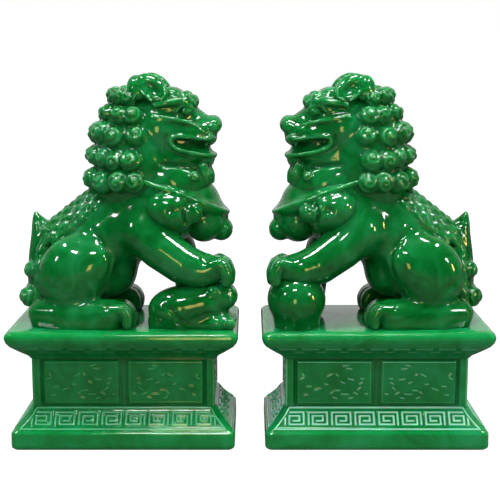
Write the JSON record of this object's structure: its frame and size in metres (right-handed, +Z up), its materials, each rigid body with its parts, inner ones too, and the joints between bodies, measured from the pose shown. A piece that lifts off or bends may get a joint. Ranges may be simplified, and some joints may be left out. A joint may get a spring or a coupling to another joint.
{
  "type": "guardian lion pair",
  "caption": "Mirrored guardian lion statues in glossy green jade-look resin, seated on fret-banded plinths, one with a paw on a cub and one with a paw on a ball.",
  "frame": {"origin": "bottom centre of the pair, midway between the two statues, at the height of the surface that they stand on", "axes": "+X runs along the pair from the cub lion to the ball lion, +Y runs from the front sides to the back sides, +Z is up"},
  "size_m": [0.1986, 0.056, 0.1532],
  "materials": {
    "jade_resin": "high-gloss translucent jade-green cast resin with cloudy marbling",
    "plinth_resin": "high-gloss translucent jade-green cast resin with cloudy marbling, relief bands picked out by the gloss",
    "felt": "thin dark green self-adhesive felt"
  },
  "bodies": {
    "ball_lion": {"ball_lion_base_pad": "felt", "ball_lion_back_ridge": "jade_resin", "ball_lion_bell": "jade_resin", "ball_lion_far_ear": "jade_resin", "ball_lion_far_hind_leg": "jade_resin", "ball_lion_head": "jade_resin", "ball_lion_lower_jaw": "jade_resin", "ball_lion_mane": "jade_resin", "ball_lion_near_ear": "jade_resin", "ball_lion_near_hind_leg": "jade_resin", "ball_lion_plinth_cornice": "plinth_resin", "ball_lion_plinth_foot": "plinth_resin", "ball_lion_plinth_waist": "plinth_resin", "ball_lion_raised_foreleg": "jade_resin", "ball_lion_scarf": "jade_resin", "ball_lion_standing_foreleg": "jade_resin", "ball_lion_tail": "jade_resin", "ball_lion_torso": "jade_resin", "ball_lion_ball": "jade_resin"},
    "cub_lion": {"cub_lion_base_pad": "felt", "cub_lion_back_ridge": "jade_resin", "cub_lion_bell": "jade_resin", "cub_lion_far_ear": "jade_resin", "cub_lion_far_hind_leg": "jade_resin", "cub_lion_head": "jade_resin", "cub_lion_lower_jaw": "jade_resin", "cub_lion_mane": "jade_resin", "cub_lion_near_ear": "jade_resin", "cub_lion_near_hind_leg": "jade_resin", "cub_lion_plinth_cornice": "plinth_resin", "cub_lion_plinth_foot": "plinth_resin", "cub_lion_plinth_waist": "plinth_resin", "cub_lion_raised_foreleg": "jade_resin", "cub_lion_scarf": "jade_resin", "cub_lion_standing_foreleg": "jade_resin", "cub_lion_tail": "jade_resin", "cub_lion_torso": "jade_resin", "cub_lion_cub": "jade_resin"}
  },
  "joints": [
    {"name": "pair_spacing", "type": "slide", "parent": "ball_lion", "child": "cub_lion", "axis": [-1, 0, 0], "range_m": [0, 0.25]}
  ]
}
